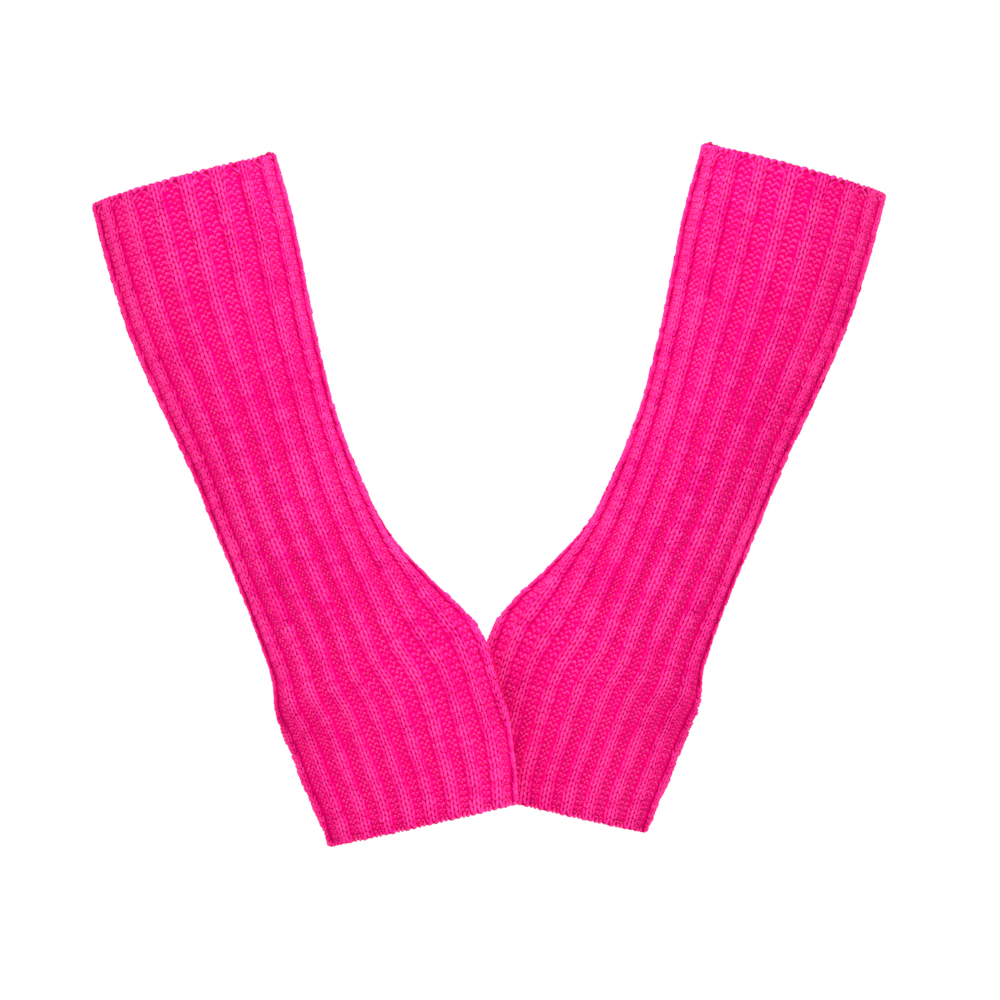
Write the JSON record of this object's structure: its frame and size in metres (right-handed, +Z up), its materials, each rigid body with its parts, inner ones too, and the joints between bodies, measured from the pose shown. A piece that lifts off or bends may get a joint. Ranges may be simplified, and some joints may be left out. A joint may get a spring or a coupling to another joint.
{
  "type": "pair of knitted arm warmers",
  "caption": "Pair of long fingerless arm warmers in vertical rib knit, held open as worn, each a tapering tube with a thumb slit in its side seam.",
  "frame": {"origin": "middle of the front warmer's wrist, where the wearer's forearm holds it", "axes": "+X across the pair from the front warmer to the rear one, +Y away from the front, +Z up towards the elbows"},
  "size_m": [0.3519, 0.0838, 0.3113],
  "materials": {
    "knit_panel": "soft matt acrylic yarn, two-by-two rib",
    "seam_yarn": "soft matt acrylic yarn, sewn edges"
  },
  "bodies": {
    "root": {"front_panel": "knit_panel", "front_arm_seam": "seam_yarn", "front_hand_seam": "seam_yarn", "rear_panel": "knit_panel", "rear_arm_seam": "seam_yarn", "rear_hand_seam": "seam_yarn"}
  },
  "joints": []
}
